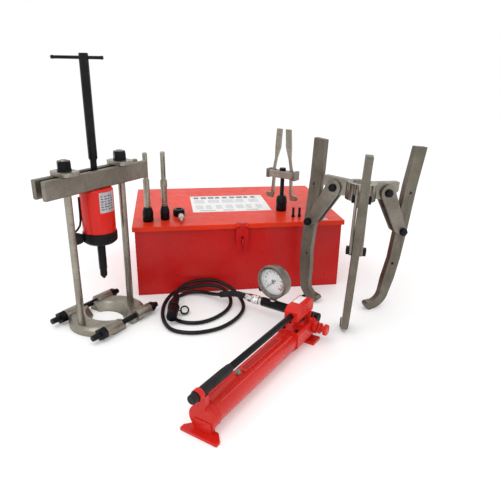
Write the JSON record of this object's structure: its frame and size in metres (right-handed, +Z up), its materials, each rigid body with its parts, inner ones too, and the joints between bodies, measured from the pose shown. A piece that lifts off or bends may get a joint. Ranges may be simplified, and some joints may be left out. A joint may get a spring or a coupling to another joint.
{
  "type": "hydraulic gear puller kit",
  "caption": "Hydraulic gear puller kit: two-leg frame puller with hollow ram and bearing splitter, three-jaw puller, hand pump with gauge and hose, accessories and steel case.",
  "frame": {"origin": "middle of the kit's footprint on the floor it stands on", "axes": "+X along the width of the case, +Y towards the back of the case, +Z up"},
  "size_m": [1.2084, 1.3548, 0.82],
  "materials": {
    "case_red": "semi-gloss",
    "lid_red": "semi-gloss",
    "pump_red": "gloss",
    "forged_steel": "satin",
    "plate_steel": "satin",
    "rod_steel": "satin",
    "bright_plate": "polished",
    "black_oxide": "satin",
    "black_rubber": "matte",
    "hose_rubber": "satin",
    "gauge_metal": "satin",
    "lens": "gloss"
  },
  "bodies": {
    "case": {"case_tub": "case_red", "case_staple": "case_red", "case_hinge": "case_red"},
    "lid": {"case_lid": "lid_red"},
    "hasp": {"hasp_strap": "case_red"},
    "frame_puller": {"beam_front": "forged_steel", "beam_rear": "forged_steel", "ram_cylinder": "pump_red", "ram_collar": "black_oxide", "ram_coupler": "black_rubber"},
    "left_side": {"saddle_left": "plate_steel", "leg_left": "rod_steel", "splitter_left": "plate_steel"},
    "right_side": {"saddle_right": "plate_steel", "leg_right": "rod_steel", "splitter_right": "plate_steel", "stud_front": "black_oxide", "stud_rear": "black_oxide"},
    "left_nut": {"leg_nut_left": "black_oxide"},
    "right_nut": {"leg_nut_right": "black_oxide"},
    "ram_rod": {"ram_plunger": "rod_steel", "screw_tip": "black_oxide"},
    "crank": {"drive_screw": "black_oxide"},
    "crank_bar": {"t_bar": "black_oxide"},
    "jaw_puller": {"jaw_head": "plate_steel"},
    "strap_body_1": {"strap_1": "plate_steel"},
    "strap_body_2": {"strap_2": "plate_steel"},
    "strap_body_3": {"strap_3": "plate_steel"},
    "jaw_body_1": {"jaw_1": "forged_steel"},
    "jaw_body_2": {"jaw_2": "forged_steel"},
    "jaw_body_3": {"jaw_3": "forged_steel"},
    "pump": {"pump_tank": "pump_red", "rear_foot": "pump_red", "pump_head": "pump_red", "gauge_adapter": "black_oxide", "gauge_case": "gauge_metal", "gauge_lens": "lens", "hose_coupler": "bright_plate", "hose": "hose_rubber", "hose_end": "black_oxide"},
    "lever": {"lever_block": "pump_red", "handle_tube": "black_oxide", "handle_grip": "black_rubber", "grip_ring": "pump_red"},
    "piston": {"pump_plunger": "rod_steel"},
    "valve": {"release_valve": "pump_red"},
    "vent": {"vent_screw": "bright_plate"},
    "needle": {"gauge_needle": "black_oxide"},
    "extension_a": {"rod_a": "rod_steel", "socket_a": "black_oxide"},
    "extension_b": {"rod_b": "rod_steel", "socket_b": "black_oxide"},
    "ring_nut": {"adapter_nut": "black_oxide"},
    "fitting": {"hose_fitting": "bright_plate"},
    "cup_stand": {"cup_screw": "black_oxide"},
    "cup_beam": {"cup_bar": "plate_steel"},
    "cup_left": {"cup_leg_left": "rod_steel"},
    "cup_right": {"cup_leg_right": "rod_steel"},
    "pins": {"step_pins": "black_oxide"}
  },
  "joints": [
    {"name": "lid_hinge", "type": "hinge", "parent": "case", "child": "lid", "pos_m": [0.03865, 0.67237, 0.25], "axis": [-1, 0, 0], "range_deg": [0, 100]},
    {"name": "hasp_hinge", "type": "hinge", "parent": "lid", "child": "hasp", "pos_m": [0.03965, 0.11537, 0.256], "axis": [-1, 0, 0], "range_deg": [0, 150]},
    {"name": "frame_puller_lift", "type": "slide", "parent": "case", "child": "frame_puller", "axis": [0, 0, 1], "range_m": [0, 0.3]},
    {"name": "left_leg_slide", "type": "slide", "parent": "frame_puller", "child": "left_side", "axis": [0.6691, 0.7431, 0], "range_m": [0, 0.013]},
    {"name": "right_leg_slide", "type": "slide", "parent": "frame_puller", "child": "right_side", "axis": [-0.6691, -0.7431, 0], "range_m": [0, 0.013]},
    {"name": "left_nut_turn", "type": "hinge", "parent": "left_side", "child": "left_nut", "pos_m": [-0.50094, -0.10992, 0.525], "axis": [0, 0, 1], "continuous": true},
    {"name": "right_nut_turn", "type": "hinge", "parent": "right_side", "child": "right_nut", "pos_m": [-0.36176, 0.04466, 0.525], "axis": [0, 0, 1], "continuous": true},
    {"name": "ram_stroke", "type": "slide", "parent": "frame_puller", "child": "ram_rod", "axis": [0, 0, -1], "range_m": [0, 0.075], "stiffness_N_per_m": 900, "springref_m": -0.05},
    {"name": "crank_turn", "type": "hinge", "parent": "frame_puller", "child": "crank", "pos_m": [-0.43135, -0.03263, 0.52], "axis": [0, 0, 1], "continuous": true},
    {"name": "crank_bar_slide", "type": "slide", "parent": "crank", "child": "crank_bar", "axis": [0.986, -0.1668, 0], "range_m": [-0.033, 0.069]},
    {"name": "jaw_puller_lift", "type": "slide", "parent": "case", "child": "jaw_puller", "axis": [0, 0, 1], "range_m": [0, 0.3]},
    {"name": "strap_1_swing", "type": "hinge", "parent": "jaw_puller", "child": "strap_body_1", "pos_m": [0.3247, -0.03001, 0.42685], "axis": [0.7655, 0.6429, -0.0269], "range_deg": [-4, 10]},
    {"name": "jaw_1_swing", "type": "hinge", "parent": "strap_body_1", "child": "jaw_body_1", "pos_m": [0.26712, 0.03301, 0.29456], "axis": [-0.7655, -0.6429, 0.0269], "range_deg": [-1, 6]},
    {"name": "strap_2_swing", "type": "hinge", "parent": "jaw_puller", "child": "strap_body_2", "pos_m": [0.35202, -0.18523, 0.42459], "axis": [-0.9388, 0.3419, 0.0412], "range_deg": [-4, 10]},
    {"name": "jaw_2_swing", "type": "hinge", "parent": "strap_body_2", "child": "jaw_body_2", "pos_m": [0.31877, -0.26036, 0.2903], "axis": [0.9388, -0.3419, -0.0412], "range_deg": [-3, 6]},
    {"name": "strap_3_swing", "type": "hinge", "parent": "jaw_puller", "child": "strap_body_3", "pos_m": [0.47268, -0.0839, 0.42035], "axis": [0.1734, -0.9848, -0.0143], "range_deg": [-4, 10]},
    {"name": "jaw_3_swing", "type": "hinge", "parent": "strap_body_3", "child": "jaw_body_3", "pos_m": [0.54682, -0.06884, 0.28228], "axis": [-0.1734, 0.9848, 0.0143], "range_deg": [-3, 6]},
    {"name": "pump_lift", "type": "slide", "parent": "case", "child": "pump", "axis": [0, 0, 1], "range_m": [0, 0.15]},
    {"name": "lever_swing", "type": "hinge", "parent": "pump", "child": "lever", "pos_m": [0.1766, -0.2502, 0.092], "axis": [-0.7431, 0.6691, 0], "range_deg": [0, 50]},
    {"name": "piston_stroke", "type": "slide", "parent": "pump", "child": "piston", "axis": [0, 0, 1], "range_m": [0, 0.0246]},
    {"name": "valve_turn", "type": "hinge", "parent": "pump", "child": "valve", "pos_m": [0.21911, -0.27771, 0.05], "axis": [-0.7431, 0.6691, 0], "range_deg": [0, 180]},
    {"name": "vent_turn", "type": "hinge", "parent": "pump", "child": "vent", "pos_m": [-0.06533, -0.51141, 0.075], "axis": [0, 0, 1], "continuous": true},
    {"name": "needle_sweep", "type": "hinge", "parent": "pump", "child": "needle", "pos_m": [0.1072, -0.1285, 0.149], "axis": [0.7314, 0.682, 0], "range_deg": [0, 270]},
    {"name": "extension_a_lift", "type": "slide", "parent": "lid", "child": "extension_a", "axis": [0, 0, 1], "range_m": [0, 0.2]},
    {"name": "extension_b_lift", "type": "slide", "parent": "lid", "child": "extension_b", "axis": [0, 0, 1], "range_m": [0, 0.2]},
    {"name": "ring_nut_lift", "type": "slide", "parent": "lid", "child": "ring_nut", "axis": [0, 0, 1], "range_m": [0, 0.1]},
    {"name": "fitting_lift", "type": "slide", "parent": "lid", "child": "fitting", "axis": [0, 0, 1], "range_m": [0, 0.1]},
    {"name": "cup_puller_lift", "type": "slide", "parent": "lid", "child": "cup_stand", "axis": [0, 0, 1], "range_m": [0, 0.2]},
    {"name": "cup_beam_turn", "type": "hinge", "parent": "cup_stand", "child": "cup_beam", "pos_m": [0.21765, 0.27537, 0.405], "axis": [0, 0, 1], "continuous": true},
    {"name": "cup_left_slide", "type": "slide", "parent": "cup_beam", "child": "cup_left", "axis": [0.7071, -0.7071, 0], "range_m": [-0.006, 0.006]},
    {"name": "cup_right_slide", "type": "slide", "parent": "cup_beam", "child": "cup_right", "axis": [-0.7071, 0.7071, 0], "range_m": [-0.006, 0.006]},
    {"name": "pins_lift", "type": "slide", "parent": "lid", "child": "pins", "axis": [0, 0, 1], "range_m": [0, 0.1]}
  ],
  "couplings": [
    {"joint": "piston_stroke", "follows": "lever_swing", "m_per_rad": 0.028}
  ]
}
